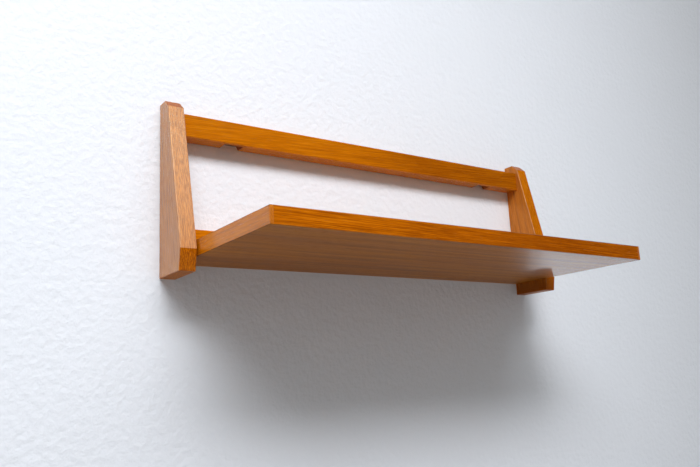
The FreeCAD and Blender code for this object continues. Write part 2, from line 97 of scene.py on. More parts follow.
# Chipboard, beech, zinc and steel
CHIP_DARK = (0.19, 0.10, 0.045)
CHIP_MIDDLE = (0.46, 0.30, 0.16)
CHIP_LIGHT = (0.70, 0.54, 0.34)
CHIP_SIZE = (3.2 * MM, 3.2 * MM, 1.1 * MM)
BEECH_DARK = (0.50, 0.31, 0.17)
BEECH_LIGHT = (0.68, 0.48, 0.30)
BEECH_FLECK = (0.30, 0.15, 0.07)
ZINC_DULL = (0.26, 0.26, 0.25)
ZINC_BRIGHT = (0.42, 0.41, 0.39)
STEEL_BRIGHT = (0.66, 0.64, 0.61)
STEEL_TARNISHED = (0.36, 0.32, 0.28)

# Turns that lay each grain direction along the X of the wood pattern
GRAIN_TURN = {
    "X": (0.0, 0.0, 0.0),
    "Y": (0.0, 0.0, -math.pi / 2),
    "Z": (0.0, math.pi / 2, 0.0),
}
GRAIN_AXIS = {"X": (1.0, 0.0, 0.0), "Y": (0.0, 1.0, 0.0), "Z": (0.0, 0.0, 1.0)}

# Wall and floor. The wall stands just behind the shelf's back, and a ray that meets it
# within THROUGH_WALL of its start passes through.
WALL_GAP = 0.5 * MM
WALL_HALF_WIDTH = 5.0
WALL_HEIGHT = 5.0
THROUGH_WALL = 1.1 * MM
PLASTER_SIZE = (11 * MM, 11 * MM, 11 * MM)
PLASTER_RELIEF = 2 * MM
FLOOR_GLOW = 0.6

# Lamps: width and height, place, and the point that they shine at
KEY_SIZE = (2.6, 0.9)
KEY_DISTANCE = 3.0
KEY_ELEVATION = math.radians(36.5)
KEY_TURN = math.radians(27)
KEY_SPREAD = math.radians(78)
KEY_TARGET = (-0.65, -0.1, -0.1)
WINDOW_SIZE = (1.3, 0.9)
WINDOW_PLACE = (0.68, -2.04, 1.88)
WINDOW_TARGET = (-0.39, -0.06, -0.1)
BACK_SIZE = (2.5, 2.5)
BACK_PLACE = (0.0, 3.5, 1.0)
BACK_TARGET = (0.0, 0.0, -0.1)
BACK_POWER = 25.0

# The room as it is seen and mirrored, and the tint of its light. ROOM_PALING and
# DARK_ABOVE are spans of a direction's Z, and DARK_IN_FRONT is one of its Y.
ROOM_BELOW = (0.42, 0.42, 0.43)
ROOM_ABOVE = (0.86, 0.86, 0.88)
ROOM_PALING = (-0.4, 0.6)
ROOM_DARK = (0.02, 0.02, 0.02)
DARK_ABOVE = (0.35, 0.8)
DARK_IN_FRONT = (0.1, -0.35)
ROOM_TINT = (1.0, 0.985, 0.93, 1.0)

# Directions of the picture's right and upper edges, and the width of the film
PICTURE_RIGHT = (0.82212, -0.56709, -0.05031)
PICTURE_UP = (-0.07855, -0.20050, 0.97654)
FILM_WIDTH = 36.0


class Wire:
    """An output of a shader node. Sums on wires and numbers add their own Math nodes."""

    def __init__(self, tree, socket):
        self.tree = tree
        self.socket = socket

    def math(self, operation, *values):
        """A Math node on this wire and further values."""
        return self.tree.node("ShaderNodeMath", {"operation": operation}, self, *values)

    def __add__(self, other):
        return self.math("ADD", other)

    __radd__ = __add__

    def __sub__(self, other):
        return self.math("SUBTRACT", other)

    def __rsub__(self, other):
        return self.tree.node("ShaderNodeMath", {"operation": "SUBTRACT"}, other, self)

    def __mul__(self, other):
        return self.math("MULTIPLY", other)

    __rmul__ = __mul__

    def __truediv__(self, other):
        return self.math("DIVIDE", other)

    def __rtruediv__(self, other):
        return self.tree.node("ShaderNodeMath", {"operation": "DIVIDE"}, other, self)


class ShaderTree:
    """The nodes of one material or world."""

    def __init__(self, owner):
        owner.use_nodes = True
        self.nodes = owner.node_tree.nodes
        self.links = owner.node_tree.links
        self.nodes.clear()

    def node(self, kind, settings=None, *values, output=0, **named):
        """Adds a node. Settings come first, then its sockets by order or by name."""
        node = self.nodes.new(kind)
        for name, value in (settings or {}).items():
            if name == "stops":
                self.set_stops(node.color_ramp, value)
            else:
                setattr(node, name, value)
        for place, value in enumerate(values):
            self.feed(node.inputs[place], value)
        for name, value in named.items():
            self.feed(node.inputs[name.replace("_", " ")], value)
        return Wire(self, node.outputs[output]) if node.outputs else None

    def feed(self, socket, value):
        """Links a wire to a socket, or sets the socket's own value."""
        if isinstance(value, Wire):
            self.links.new(value.socket, socket)
        else:
            socket.default_value = value

    @staticmethod
    def set_stops(ramp, stops):
        """Sets the stops of a colour ramp as (place, colour) pairs."""
        while len(ramp.elements) < len(stops):
            ramp.elements.new(1.0)
        for element, (place, colour) in zip(ramp.elements, stops):
            element.position = place
            element.color = (*colour, 1.0)

    def blend(self, share, first, second):
        """A mix of two colours by a share."""
        node = self.nodes.new("ShaderNodeMix")
        node.data_type = "RGBA"
        for name, value in (("Factor_Float", share), ("A_Color", first), ("B_Color", second)):
            socket = next(item for item in node.inputs if item.identifier == name)
            if not isinstance(value, (Wire, float, int)):
                value = (*value, 1.0)
            self.feed(socket, value)
        output = next(item for item in node.outputs if item.identifier == "Result_Color")
        return Wire(self, output)

    def part(self, vector, letter):
        """One of the X, Y and Z parts of a vector."""
        return self.node("ShaderNodeSeparateXYZ", None, vector, output=letter)

    def vector(self, operation, *values, output="Vector"):
        """A Vector Math node."""
        return self.node(
            "ShaderNodeVectorMath", {"operation": operation}, *values, output=output
        )

    def step(self, value, low, high, start=0.0, end=1.0):
        """A smooth step from start to end as the value goes from low to high."""
        settings = {"interpolation_type": "SMOOTHSTEP"}
        return self.node("ShaderNodeMapRange", settings, value, low, high, start, end)

    def noise(self, place, size, detail=2.0, roughness=0.5, output="Fac"):
        """Noise whose features have about the given size in metres along each axis."""
        stretch = tuple(1.0 / length for length in size)
        scaled = self.vector("MULTIPLY", place, stretch)
        return self.node(
            "ShaderNodeTexNoise",
            None,
            output=output,
            Vector=scaled,
            Scale=1.0,
            Detail=detail,
            Roughness=roughness,
        )

    def cells(self, place, size, output="Distance"):
        """Voronoi cells of about the given size in metres along each axis."""
        stretch = tuple(1.0 / length for length in size)
        scaled = self.vector("MULTIPLY", place, stretch)
        return self.node("ShaderNodeTexVoronoi", None, output=output, Vector=scaled, Scale=1.0)

    def bump(self, height, strength, depth, **named):
        """The normal of a surface with small height differences, given in metres."""
        return self.node(
            "ShaderNodeBump", None, Strength=strength, Distance=depth, Height=height, **named
        )


def new_material(name):
    """A material with an empty node tree."""
    material = bpy.data.materials.new(name)
    return material, ShaderTree(material)


def finish_surface(tree, **sockets):
    """Ends a material with a Principled BSDF that is fed by socket name."""
    surface = tree.node("ShaderNodeBsdfPrincipled", None, **sockets)
    tree.node("ShaderNodeOutputMaterial", None, Surface=surface)


class Cut(NamedTuple):
    """How a piece lies in the log, and how strongly its figure shows."""

    grain: str  # the axis that the grain runs along
    shift: tuple  # place in the log
    pith: tuple  # where the pith lies, across the grain
    ring_width: float
    rings: float
    streak: tuple  # length and width of a streak
    streaks: float
    fibres: float
    fade: tuple = ()  # painted shade: start and end along X of a darkening towards the right, and its depth
    end_grain: float = 0.35
    wander: float = 9 * MM  # how far the grain strays
    cloud: float = 0.5
    lean: float = 0.0  # turn of the grain about X
    slope: float = 0.0  # turn of the grain about Y
    veins: float = 0.0


class Lacquer(NamedTuple):
    """How the lacquer lies and has aged on a piece."""

    gloss: float  # How the lacquer lies and has changed with age on a piece, and where shade, light, highlights and sheen are painted into the wood's colour.
    wear_and_highlight: float = 0.4  # pale arrises, partly from use and partly a painted highlight
    bleach_and_sheen: float = 0.0  # pale upright faces: bleaching, and partly a painted sheen
    slant_bleach_and_sheen: float = 0.0  # the same where a face slopes back
    mottle: float = 0.0  # pale specks, more towards the top
    painted_foot_shade: float = 0.0  # painted shade: darker below the board, in its shadow
    painted_lean_shade: float = 0.0  # painted shade where a face leans over
    painted_slant_shade: float = 0.0  # painted shade where a face slopes back
    painted_under_light: float = 0.0  # painted light where a face looks down
    dark_top_line: float = 0.0  # dark line along the top arris
    polish: float = 0.0  # smoother coat towards the front right corner
    painted_arris_highlight: float = 0.0  # painted highlight on the arris between the inner face and the front
    tint: tuple = AMBER_TINT


class Face(NamedTuple):
    """What the oak reads of a place on a piece."""

    coordinates: Wire
    along: Wire
    height: Wire
    flat: Wire
    facing_up: Wire
    eased: Wire


class Figure(NamedTuple):
    """The figure of the oak at a place in the log."""

    place: Wire
    wavy: Wire
    early: Wire
    streak: Wire
    fibre: Wire
    fine: Wire
    cloud: Wire
    pore: Wire
    end_grain: Wire


def read_face(tree):
    """The place and the face's normal, also with its arrises eased."""
    coordinates = tree.node("ShaderNodeTexCoord", None, output="Object")
    flat = tree.node("ShaderNodeNewGeometry", None, output="True Normal")
    return Face(
        coordinates=coordinates,
        along=tree.part(coordinates, "X"),
        height=tree.part(coordinates, "Z"),
        flat=flat,
        facing_up=tree.part(flat, "Z"),
        eased=tree.node("ShaderNodeBevel", {"samples": 6}, Radius=ARRIS_EASING),
    )


def read_figure(tree, face, cut):
    """Lays a piece in the log, and reads its year rings, streaks, fibres and pores."""
    turn_x, turn_y, turn_z = GRAIN_TURN[cut.grain]
    place = tree.node(
        "ShaderNodeMapping",
        None,
        Vector=face.coordinates,
        Location=cut.shift,
        Rotation=(turn_x + cut.lean, turn_y + cut.slope, turn_z),
    )
    wander = tree.noise(place, WANDER_SIZE, output="Color")
    wander = tree.vector("SUBTRACT", wander, (0.5, 0.5, 0.5))
    wander = tree.vector("MULTIPLY", wander, (0.0, cut.wander, cut.wander))
    wavy = tree.vector("ADD", place, wander)

    from_pith = tree.vector("SUBTRACT", wavy, (0.0, *cut.pith))
    from_pith = tree.vector("MULTIPLY", from_pith, (0.0, 1.0, 1.0))
    radius = tree.vector("LENGTH", from_pith, output="Value")
    ring = (radius / cut.ring_width).math("FRACT")
    early = tree.step(ring, *RING_START) * tree.step(ring, *RING_FADE, 1.0, 0.0)

    length, width = cut.streak
    dash = tree.noise(wavy, PORE_SIZE, detail=0.0)
    across = tree.vector("DOT_PRODUCT", face.flat, GRAIN_AXIS[cut.grain], output="Value")
    return Figure(
        place=place,
        wavy=wavy,
        early=early,
        streak=tree.noise(wavy, (length, width, width), roughness=0.55),
        fibre=tree.noise(wavy, FIBRE_SIZE, detail=3.0, roughness=0.6),
        fine=tree.noise(wavy, FINE_SIZE, detail=1.0),
        cloud=tree.noise(place, CLOUD_SIZE),
        pore=tree.step(dash, *PORE_SPAN) * (0.25 + 0.75 * early),
        end_grain=tree.step(across.math("ABSOLUTE"), *END_GRAIN_SPAN),
    )


def oak_tone(tree, face, figure, cut, lacquer):
    """How light the oak is, from 0 to 1, by its figure, and with shade and light painted by how
    its faces lie and where they stand.
    """
    tone = (
        0.5
        + (figure.streak - 0.5) * (2.4 * cut.streaks)
        + (figure.fibre - 0.5) * (1.6 * cut.fibres)
        + (figure.fine - 0.5) * (0.7 * cut.fibres)
        + (figure.cloud - 0.5) * cut.cloud
        - figure.early * (0.3 * cut.rings)
        - figure.end_grain * cut.end_grain
    )
    # painted shade: faces that don't look down grow darker towards the right
    if cut.fade:
        start, end, dimming_depth = cut.fade
        dimmed = tree.step(face.along, start, end, 0.0, dimming_depth)
        tone = tone - dimmed * tree.step(face.facing_up, *LOOKS_DOWN, 1.0, 0.0)
    if cut.veins:
        vein = tree.noise(figure.wavy, VEIN_SIZE, detail=1.0)
        tone = tone - tree.step(vein, *VEIN_SPAN) * cut.veins
    # painted shade on the foot below the board
    if lacquer.painted_foot_shade:
        tone = tone - tree.step(face.height, *FOOT_SPAN) * lacquer.painted_foot_shade
    # painted shade on faces that lean over a little, such as the front of a foot
    if lacquer.painted_lean_shade:
        above = tree.step(face.facing_up, *ABOVE_LOOKING_DOWN)
        leaning = tree.step(face.facing_up, *LEANS_OVER) * above
        tone = tone - leaning * lacquer.painted_lean_shade
    # painted shade on faces that slope back
    if lacquer.painted_slant_shade:
        tone = tone - tree.step(face.facing_up, *SLOPES_BACK) * lacquer.painted_slant_shade
    # painted light on faces that look down
    if lacquer.painted_under_light:
        tone = tone + tree.step(face.facing_up, *LOOKS_DOWN) * lacquer.painted_under_light
    return tone


def oak_paling(tree, face, figure, lacquer):
    """The share of paler wood: specks and arrises from use, bleaching, and painted highlights
    and sheen.
    """
    # pale arrises, partly from use and partly a painted highlight
    turned = tree.vector("DOT_PRODUCT", face.eased, face.flat, output="Value")
    patchy = tree.noise(figure.place, PATCH_SIZE)
    pale_share = tree.step(turned, *ARRIS_SPAN) * tree.step(patchy, *PATCH_SPAN) * lacquer.wear_and_highlight
    below = tree.step(face.facing_up, *BELOW_LOOKING_UP)
    standing_faces = tree.step(face.facing_up, *NOT_LEANING_OVER) * below
    if lacquer.mottle:
        speck = tree.noise(face.coordinates, SPECK_SIZE, detail=3.0)
        higher = tree.step(face.height, *MOTTLE_SPAN, 0.35, 1.0)
        speckled = tree.step(speck, *SPECK_SPAN) * higher
        pale_share = pale_share.math("MAXIMUM", speckled * standing_faces * lacquer.mottle)
    # paler upright faces: bleaching, and partly a painted sheen
    if lacquer.bleach_and_sheen:
        shares = (lacquer.bleach_and_sheen, lacquer.slant_bleach_and_sheen)
        share = tree.step(face.facing_up, *SLOPES_BACK, *shares)
        pale_share = pale_share.math("MAXIMUM", standing_faces * (figure.fibre * 1.6 + 0.2) * share)
    # painted highlight along the arris between the inner face and the front
    if lacquer.painted_arris_highlight:
        corner = tree.part(face.eased, "X") * tree.part(face.eased, "Y")
        pale_share = pale_share.math("MAXIMUM", tree.step(corner, *ARRIS_HIGHLIGHT_SPAN) * lacquer.painted_arris_highlight)
    # no paling on the foot, so that its painted shade stays dark
    if lacquer.painted_foot_shade:
        pale_share = pale_share * tree.step(face.height, *FOOT_SPAN, 1.0, 0.0)
    return pale_share


def oak(name, cut, stops, lacquer):
    """Solid oak beneath amber lacquer, cut from the log at its own place.

    The pattern fills space, so that end grain, arrises and bores show the same wood.
    """
    material, tree = new_material(name)
    face = read_face(tree)
    figure = read_figure(tree, face, cut)
    tone = oak_tone(tree, face, figure, cut, lacquer)
    ramp = {"stops": tuple(zip(TONE_PLACES, stops))}
    colour = tree.node("ShaderNodeValToRGB", ramp, tone)
    pore_colour = tuple(0.5 * channel for channel in stops[0])
    colour = tree.blend(figure.pore * (0.75 * cut.fibres), colour, pore_colour)
    # a darker line along the top arris, from left of the middle on
    if lacquer.dark_top_line:
        top_arris = tree.step(tree.part(face.eased, "Z"), *DARK_LINE_SPAN)
        top_arris = top_arris * tree.step(face.along, *DARK_LINE_START)
        colour = tree.blend(top_arris * lacquer.dark_top_line, colour, pore_colour)
    # paler wood, partly painted highlights and sheen
    colour = tree.blend(oak_paling(tree, face, figure, lacquer), colour, PALE_OAK)

    relief = figure.fine * 0.4 + figure.fibre * 0.5 - figure.pore
    clouded = lacquer.gloss + (figure.cloud - 0.5) * 0.12
    polished = 0.0
    if lacquer.polish:
        corner = face.along - tree.part(face.coordinates, "Y") * POLISH_SLANT
        polished = tree.step(corner, *POLISH_SPAN) * lacquer.polish
    finish_surface(
        tree,
        Base_Color=colour,
        Roughness=clouded + figure.pore * 0.25 + figure.end_grain * 0.3,
        IOR=LACQUER_IOR,
        Specular_Tint=lacquer.tint,
        Coat_Weight=polished,
        Coat_Roughness=POLISH_ROUGHNESS,
        Coat_IOR=LACQUER_IOR,
        Normal=tree.bump(relief, 0.28, LACQUER_RELIEF, Normal=face.eased),
    )
    return material


def chipboard():
    """Raw chipboard: pressed flakes of many tones with dark glue gaps between them."""
    material, tree = new_material("raw_chipboard")
    place = tree.node("ShaderNodeTexCoord", None, output="Object")
    flake = tree.cells(place, CHIP_SIZE, output="Color")
    shade = tree.node("ShaderNodeSeparateColor", None, flake)
    from_middle = tree.cells(place, CHIP_SIZE)
    dust = tree.noise(place, (0.5 * MM, 0.5 * MM, 0.4 * MM))
    tone = shade * 0.7 + dust * 0.35 - tree.step(from_middle, 0.45, 0.85) * 0.35
    ramp = {"stops": ((0.05, CHIP_DARK), (0.45, CHIP_MIDDLE), (0.95, CHIP_LIGHT))}
    colour = tree.node("ShaderNodeValToRGB", ramp, tone)
    normal = tree.bump(tone + dust * 0.4, 0.6, 0.3 * MM)
    finish_surface(tree, Base_Color=colour, Roughness=0.82, Normal=normal)
    return material


def beech(name, grain):
    """Bare beech of the dowels, pale with short brown flecks."""
    material, tree = new_material(name)
    coordinates = tree.node("ShaderNodeTexCoord", None, output="Object")
    place = tree.node(
        "ShaderNodeMapping", None, Vector=coordinates, Rotation=GRAIN_TURN[grain]
    )
    fleck = tree.noise(place, (4 * MM, 0.5 * MM, 0.5 * MM), detail=1.0)
    streak = tree.noise(place, (30 * MM, 1.5 * MM, 1.5 * MM))
    colour = tree.blend(streak, BEECH_DARK, BEECH_LIGHT)
    flecks = tree.step(fleck, 0.62, 0.72)
    colour = tree.blend(flecks * 0.5, colour, BEECH_FLECK)
    normal = tree.bump(fleck, 0.3, 0.1 * MM)
    finish_surface(tree, Base_Color=colour, Roughness=0.62, Normal=normal)
    return material


def zinc_plate():
    """Zinc on pressed steel: faint crystals, rolling marks and a dull bloom."""
    material, tree = new_material("zinc_plate")
    place = tree.node("ShaderNodeTexCoord", None, output="Object")
    crystal = tree.cells(place, (3 * MM, 3 * MM, 3 * MM), output="Color")
    facet = tree.node("ShaderNodeSeparateColor", None, crystal)
    bloom = tree.noise(place, (9 * MM, 9 * MM, 9 * MM), detail=3.0)
    rolled = tree.noise(place, (12 * MM, 0.5 * MM, 0.3 * MM), detail=1.0)
    colour = tree.blend(bloom, ZINC_DULL, ZINC_BRIGHT)
    roughness = 0.38 + facet * 0.12 + tree.step(bloom, 0.45, 0.65) * 0.18
    normal = tree.bump(rolled, 0.25, 0.05 * MM)
    finish_surface(
        tree, Base_Color=colour, Metallic=1.0, Roughness=roughness, Normal=normal
    )
    return material


def turned_steel():
    """Bright steel of the wood screws, with fine scratches and a little tarnish."""
    material, tree = new_material("screw_steel")
    place = tree.node("ShaderNodeTexCoord", None, output="Object")
    tarnish = tree.noise(place, (3 * MM, 3 * MM, 3 * MM), detail=3.0)
    scratch = tree.noise(place, (2.5 * MM, 0.15 * MM, 0.15 * MM), detail=1.0)
    colour = tree.blend(tree.step(tarnish, 0.35, 0.7), STEEL_BRIGHT, STEEL_TARNISHED)
    roughness = 0.28 + tarnish * 0.2
    normal = tree.bump(scratch, 0.2, 0.04 * MM)
    finish_surface(
        tree, Base_Color=colour, Metallic=1.0, Roughness=roughness, Normal=normal
    )
    return material


class ShelfFinish(bpy.types.PropertyGroup):
    """Colours of the wood and the metal."""

    oak_light: bpy.props.FloatVectorProperty(
        name="Light oak",
        description="Palest streaks of the lacquered oak",
        subtype="COLOR",
        size=3,
        default=(0.68, 0.245, 0.006),
    )
    oak_middle: bpy.props.FloatVectorProperty(
        name="Middle oak",
        description="Overall tone of the lacquered oak",
        subtype="COLOR",
        size=3,
        default=(0.51, 0.146, 0.0008),
    )
    oak_dark: bpy.props.FloatVectorProperty(
        name="Dark oak",
        description="Darkest streaks of the lacquered oak",
        subtype="COLOR",
        size=3,
        default=(0.26, 0.060, 0.0004),
    )
    veneer_share: bpy.props.FloatProperty(
        name="Veneer tone",
        description="Tone of the veneers as a share of the solid oak's",
        subtype="FACTOR",
        min=0.0,
        max=1.0,
        default=0.70,
    )
    lacquer_roughness: bpy.props.FloatProperty(
        name="Lacquer roughness",
        description="Roughness of the satin lacquer",
        subtype="FACTOR",
        min=0.0,
        max=1.0,
        default=0.18,
    )


class ShelfStage(bpy.types.PropertyGroup):
    """Camera, light and backdrop."""

    focal_length: bpy.props.FloatProperty(
        name="Focal length",
        description="Focal length of the camera in millimetres",
        unit="CAMERA",
        default=37.16,
    )
    camera_place: bpy.props.FloatVectorProperty(
        name="Camera",
        description="Place of the camera",
        subtype="XYZ",
        unit="LENGTH",
        size=3,
        default=(-0.79233, -1.0560, -0.41455),
    )
    floor_level: bpy.props.FloatProperty(
        name="Floor",
        description="Height of the floor below the hanging points",
        unit="LENGTH",
        default=-1.75,
    )
    wall_colour: bpy.props.FloatVectorProperty(
        name="Wall",
        description="Colour of the wall",
        subtype="COLOR",
        size=3,
        default=(0.785, 0.825, 0.90),
    )
    floor_colour: bpy.props.FloatVectorProperty(
        name="Floor colour",
        description="Colour of the floor",
        subtype="COLOR",
        size=3,
        default=(0.72, 0.71, 0.70),
    )
    key_power: bpy.props.FloatProperty(
        name="Key light",
        description="Power of the long lamp in front of the shelf",
        unit="POWER",
        default=22.3,
    )
    window_power: bpy.props.FloatProperty(
        name="Window light",
        description="Power of the small lamp on the right, which the uprights mirror",
        unit="POWER",
        default=12.5,
    )
    room_light: bpy.props.FloatProperty(
        name="Room light",
        description="Strength of the light from the rest of the room",
        default=0.33,
    )


def paint(node, material):
    """Gives a CAD node its material."""
    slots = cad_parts[node].data.materials
    slots.clear()
    slots.append(material)


def tones(share=1.0):
    """The dark, middle and light tone of the oak, each times a share."""
    finish = bpy.context.scene.shelf_finish
    stops = (finish.oak_dark, finish.oak_middle, finish.oak_light)
    return tuple(tuple(share * channel for channel in stop) for stop in stops)


def redder(stops, share):
    """The same tones with their green lowered to a share."""
    return tuple((red, share * green, blue) for red, green, blue in stops)


class SHELF_OT_uprights(bpy.types.Operator):
    """Finishes the two uprights."""

    bl_idname = "shelf.uprights"
    bl_label = "Uprights"

    def execute(self, context):
        gloss = context.scene.shelf_finish.lacquer_roughness
        # the left upright: pale specks and bleaching with age, partly painted sheen, painted
        # shade where faces lean over or slope back, and painted light where they look down
        left_lacquer = Lacquer(
            gloss,
            wear_and_highlight=0.35,
            bleach_and_sheen=0.24,
            slant_bleach_and_sheen=0.26,
            mottle=0.5,
            painted_lean_shade=0.19,
            painted_slant_shade=0.06,
            painted_under_light=0.17,
            tint=PALE_TINT,
        )
        # the right upright: painted shade on the foot and where faces lean over or slope back, a
        # painted highlight on the inner front arris, and a little bleaching, partly painted
        # sheen
        right_lacquer = Lacquer(
            gloss,
            wear_and_highlight=0.3,
            bleach_and_sheen=0.09,
            painted_foot_shade=0.5,
            painted_lean_shade=0.12,
            painted_slant_shade=0.13,
            painted_arris_highlight=0.4,
        )
        sides = (
            ("left", (0.0, 0.0, 0.0), 0.45, 0.8, redder(tones(1.04), 0.97), left_lacquer),
            ("right", (1.3, 0.05, 0.02), 0.25, 0.5, tones(1.16), right_lacquer),
        )
        for side, shift, streaks, fibres, stops, lacquer in sides:
            cut = Cut(
                grain="Z",
                shift=shift,
                pith=(0.09, 0.11),
                ring_width=2.6 * MM,
                rings=0.6,
                streak=(110 * MM, 1.6 * MM),
                streaks=streaks,
                fibres=fibres,
                wander=4 * MM,
                cloud=0.3,
                lean=0.1,
            )
            paint(f"{side}_upright", oak(f"oak_{side}_upright", cut, stops, lacquer))
        return {"FINISHED"}


class SHELF_OT_rails(bpy.types.Operator):
    """Finishes the upper and the lower rail."""

    bl_idname = "shelf.rails"
    bl_label = "Rails"

    def execute(self, context):
        gloss = context.scene.shelf_finish.lacquer_roughness
        rails = (
            ("upper_rail", (0.0, 0.0, 0.0), tones()),
            ("lower_rail", (2.1, 0.0, 0.03), tones(1.15)),
        )
        for name, shift, stops in rails:
            cut = Cut(
                grain="X",
                shift=shift,
                pith=(0.07, -0.12),
                ring_width=2.2 * MM,
                rings=0.35,
                streak=(90 * MM, 2.4 * MM),
                streaks=0.25,
                fibres=0.4,
                # painted shade on the rails' fronts towards the right
                fade=(-0.08, 0.12, 0.22),
                wander=5 * MM,
                cloud=0.2,
                slope=0.05,
            )
            # painted light on the rails' lower faces
            lacquer = Lacquer(gloss, wear_and_highlight=0.25, painted_under_light=0.28)
            paint(name, oak(f"oak_{name}", cut, stops, lacquer))
        return {"FINISHED"}


class SHELF_OT_board(bpy.types.Operator):
    """Finishes the board: its core, lippings and veneers."""

    bl_idname = "shelf.board"
    bl_label = "Board"

    def execute(self, context):
        gloss = context.scene.shelf_finish.lacquer_roughness
        front = Cut(
            grain="X",
            shift=(0.7, 0.0, 0.0),
            pith=(-0.05, 0.06),
            ring_width=1.8 * MM,
            rings=0.3,
            streak=(130 * MM, 1.1 * MM),
            streaks=0.35,
            fibres=0.5,
            # painted shade on the front towards the right
            fade=(-0.4, 0.1, 0.23),
            wander=2 * MM,
            cloud=0.2,
            slope=-0.015,
            veins=0.38,
        )
        lacquer = Lacquer(gloss, wear_and_highlight=0.12, dark_top_line=0.6)
        red = redder(tones(1.02), 0.89)
        paint("front_lipping", oak("oak_front_lipping", front, red, lacquer))
        solid = Lacquer(gloss, wear_and_highlight=0.12, tint=PALE_TINT)
        for side, shift in (("left", (0.0, 0.2, 0.0)), ("right", (3.0, 0.0, 0.1))):
            end = Cut(
                grain="Y",
                shift=shift,
                pith=(0.1, 0.1),
                ring_width=3 * MM,
                rings=0.4,
                streak=(80 * MM, 4 * MM),
                streaks=0.2,
                fibres=0.35,
                end_grain=0.1,
            )
            paint(f"{side}_end_lipping", oak(f"oak_{side}_end_lipping", end, tones(1.18), solid))
        for name, shift in (("top_veneer", (0.0, 0.3, 0.1)), ("bottom_veneer", (0.4, 0.0, 0.0))):
            leaf = Cut(
                grain="X",
                shift=shift,
                pith=(0.5, 0.12),
                ring_width=3.2 * MM,
                rings=0.05,
                streak=(350 * MM, 11 * MM),
                streaks=0.5,
                fibres=0.6,
                wander=0.0,
                cloud=0.2,
            )
            brown = tones(context.scene.shelf_finish.veneer_share)
            lacquer = Lacquer(gloss + 0.24, wear_and_highlight=0.0, polish=0.9)
            paint(name, oak(f"oak_{name}", leaf, brown, lacquer))
        paint("shelf_core", chipboard())
        return {"FINISHED"}


class SHELF_OT_dowels(bpy.types.Operator):
    """Finishes the dowels of the joints."""

    bl_idname = "shelf.dowels"
    bl_label = "Dowels"

    def execute(self, context):
        along_x = beech("beech_dowel_x", "X")
        along_z = beech("beech_dowel_z", "Z")
        for side in ("left", "right"):
            for joint in ("upper_rail_dowels", "lower_rail_dowel", "board_dowels"):
                paint(f"{side}_{joint}", along_x)
        paint("cross_dowels", along_z)
        return {"FINISHED"}


class SHELF_OT_hangers(bpy.types.Operator):
    """Finishes the keyhole plates and their screws."""

    bl_idname = "shelf.hangers"
    bl_label = "Hangers"

    def execute(self, context):
        plate = zinc_plate()
        screw = turned_steel()
        for side in ("left", "right"):
            paint(f"{side}_hanger_plate", plate)
            paint(f"{side}_hanger_screws", screw)
        return {"FINISHED"}


class SHELF_OT_stage(bpy.types.Operator):
    """Makes the wall, the floor, the light and the camera."""

    bl_idname = "shelf.stage"
    bl_label = "Stage"

    def execute(self, context):
        stage = context.scene.shelf_stage
        make_wall(stage)
        make_floor(stage)
        make_lamps(stage)
        make_world(context.scene, stage)
        make_camera(context.scene, stage)
        context.scene.view_settings.view_transform = "Standard"
        return {"FINISHED"}


def flat_sheet(name, corner_a, corner_b, material):
    """A stage rectangle that spans two corners, made from a unit grid."""
    low, high = Vector(corner_a), Vector(corner_b)
    span = high - low
    mesh = bpy.data.meshes.new(name)
    shape = bmesh.new()
    bmesh.ops.create_grid(shape, x_segments=1, y_segments=1, size=0.5)
    if abs(span.z) > abs(span.y):
        bmesh.ops.rotate(shape, verts=shape.verts, matrix=Matrix.Rotation(math.pi / 2, 3, "X"))
        bmesh.ops.scale(shape, verts=shape.verts, vec=(span.x, 1.0, span.z))
    else:
        bmesh.ops.scale(shape, verts=shape.verts, vec=(span.x, span.y, 1.0))
    bmesh.ops.translate(shape, verts=shape.verts, vec=(low + high) / 2)
    shape.to_mesh(mesh)
    shape.free()
    sheet = bpy.data.objects.new(name, mesh)
    bpy.context.scene.collection.objects.link(sheet)
    mesh.materials.append(material)


def behind_piece(tree, place, name):
    """1 on the part of the wall right behind a CAD node, less 1 mm all round, 0 elsewhere."""
    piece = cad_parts[name]
    corners = [piece.matrix_world @ Vector(corner) for corner in piece.bound_box]
    shares = []
    for axis, letter in ((0, "X"), (2, "Z")):
        low = min(corner[axis] for corner in corners)
        high = max(corner[axis] for corner in corners)
        offset = (tree.part(place, letter) - (low + high) / 2).math("ABSOLUTE")
        shares.append(offset.math("LESS_THAN", (high - low) / 2 - MM))
    return shares[0] * shares[1]


def make_wall(stage):
    """A matt plastered wall just behind the shelf.

    It is see-through from behind and for rays that start at the shelf's back, and it lets
    light from behind through to the rails.
    """
    material, tree = new_material("pale_wall")
    place = tree.node("ShaderNodeTexCoord", None, output="Object")
    plaster = tree.noise(place, PLASTER_SIZE, detail=4.0)
    paint_coat = tree.node(
        "ShaderNodeBsdfDiffuse",
        None,
        Color=(*stage.wall_colour, 1.0),
        Normal=tree.bump(plaster, 1.0, PLASTER_RELIEF),
    )
    clear = tree.node("ShaderNodeBsdfTransparent", None)
    behind = tree.node("ShaderNodeNewGeometry", None, output="Backfacing")
    length = tree.node("ShaderNodeLightPath", None, output="Ray Length")
    near = length.math("LESS_THAN", THROUGH_WALL)
    shadow = tree.node("ShaderNodeLightPath", None, output="Is Shadow Ray")
    rails = behind_piece(tree, place, "upper_rail") + behind_piece(tree, place, "lower_rail")
    open_share = behind.math("MAXIMUM", near).math("MAXIMUM", shadow * rails)
    surface = tree.node("ShaderNodeMixShader", None, open_share, paint_coat, clear)
    tree.node("ShaderNodeOutputMaterial", None, Surface=surface)
    flat_sheet(
        "wall",
        (-WALL_HALF_WIDTH, WALL_GAP, stage.floor_level),
        (WALL_HALF_WIDTH, WALL_GAP, stage.floor_level + WALL_HEIGHT),
        material,
    )


